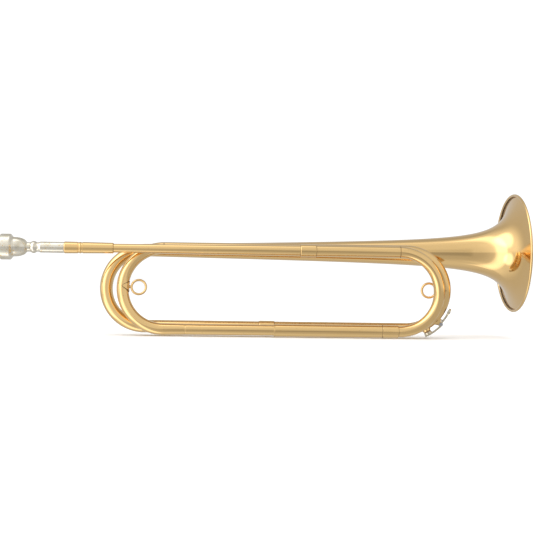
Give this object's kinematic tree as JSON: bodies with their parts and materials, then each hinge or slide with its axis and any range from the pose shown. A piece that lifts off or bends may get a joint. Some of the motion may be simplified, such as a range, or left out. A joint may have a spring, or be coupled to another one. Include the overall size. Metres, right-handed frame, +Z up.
{
  "type": "bugle",
  "caption": "Coiled brass bugle with a flared bell, pull-out front tuning slide, water key, strap rings and a cupped mouthpiece.",
  "frame": {"origin": "centre of the receiver's mouth, where the mouthpiece's shank goes in", "axes": "+X along the leadpipe from the player's end towards the bell, +Z up in the playing position, +Y from the tuning slide's side to the bell's side"},
  "size_m": [0.5505, 0.1285, 0.1555],
  "materials": {
    "mouthpiece": "worn silver plate over brass",
    "mouthpiece_receiver": "clear gold lacquer",
    "leadpipe": "clear gold lacquer",
    "leadpipe_ferrule": "clear gold lacquer",
    "upper_slide_sleeve": "clear gold lacquer",
    "slide_upper_leg": "clear gold lacquer",
    "slide_bow": "clear gold lacquer",
    "slide_ferrule": "clear gold lacquer",
    "slide_lower_sleeve": "clear gold lacquer",
    "first_return_tube": "clear gold lacquer",
    "front_left_bow": "clear gold lacquer",
    "middle_tube": "clear gold lacquer",
    "rear_right_bow": "clear gold lacquer",
    "second_return_tube": "clear gold lacquer",
    "return_ferrule": "clear gold lacquer",
    "rear_left_bow": "clear gold lacquer",
    "bell_tail": "clear gold lacquer",
    "bell_flare": "clear gold lacquer",
    "bell_rim_wire": "plain wire, enclosed in the bead",
    "leadpipe_stay": "clear gold lacquer",
    "slide_sleeve_stay": "clear gold lacquer",
    "bell_stay": "clear gold lacquer",
    "return_stay": "clear gold lacquer",
    "left_ring_foot": "clear gold lacquer",
    "left_strap_ring": "clear gold lacquer",
    "right_ring_foot": "clear gold lacquer",
    "right_strap_ring": "clear gold lacquer",
    "water_key_spout": "clear gold lacquer",
    "water_key_saddle": "clear gold lacquer",
    "water_key_screw": "steel",
    "water_key_lever": "nickel plate",
    "water_key_cork_cap": "nickel plate",
    "water_key_cork": "cork",
    "water_key_spring": "blued spring wire"
  },
  "bodies": {
    "horn": {"mouthpiece_receiver": "mouthpiece_receiver", "leadpipe": "leadpipe", "leadpipe_ferrule": "leadpipe_ferrule", "upper_slide_sleeve": "upper_slide_sleeve", "first_return_tube": "first_return_tube", "front_left_bow": "front_left_bow", "middle_tube": "middle_tube", "rear_right_bow": "rear_right_bow", "second_return_tube": "second_return_tube", "return_ferrule": "return_ferrule", "rear_left_bow": "rear_left_bow", "bell_tail": "bell_tail", "bell_flare": "bell_flare", "bell_rim_wire": "bell_rim_wire", "leadpipe_stay": "leadpipe_stay", "slide_sleeve_stay": "slide_sleeve_stay", "bell_stay": "bell_stay", "return_stay": "return_stay", "left_ring_foot": "left_ring_foot", "left_strap_ring": "left_strap_ring", "right_ring_foot": "right_ring_foot", "right_strap_ring": "right_strap_ring", "water_key_spout": "water_key_spout", "water_key_saddle": "water_key_saddle", "water_key_screw": "water_key_screw", "water_key_spring": "water_key_spring"},
    "mouthpiece": {"mouthpiece": "mouthpiece"},
    "tuning_slide": {"slide_upper_leg": "slide_upper_leg", "slide_bow": "slide_bow", "slide_ferrule": "slide_ferrule", "slide_lower_sleeve": "slide_lower_sleeve"},
    "water_key": {"water_key_lever": "water_key_lever", "water_key_cork_cap": "water_key_cork_cap", "water_key_cork": "water_key_cork"}
  },
  "joints": [
    {"name": "mouthpiece_pull", "type": "slide", "parent": "horn", "child": "mouthpiece", "axis": [-1, 0, 0], "range_m": [0, 0.035]},
    {"name": "tuning_slide_pull", "type": "slide", "parent": "horn", "child": "tuning_slide", "axis": [1, 0, 0], "range_m": [0, 0.055]},
    {"name": "water_key_press", "type": "hinge", "parent": "horn", "child": "water_key", "pos_m": [0.39472, 0.0138, -0.07541], "axis": [0, -1, 0], "range_deg": [0, 8], "stiffness_Nm_per_rad": 0.15, "springref_deg": -8.59, "deforming": ["water_key_spring"]}
  ]
}
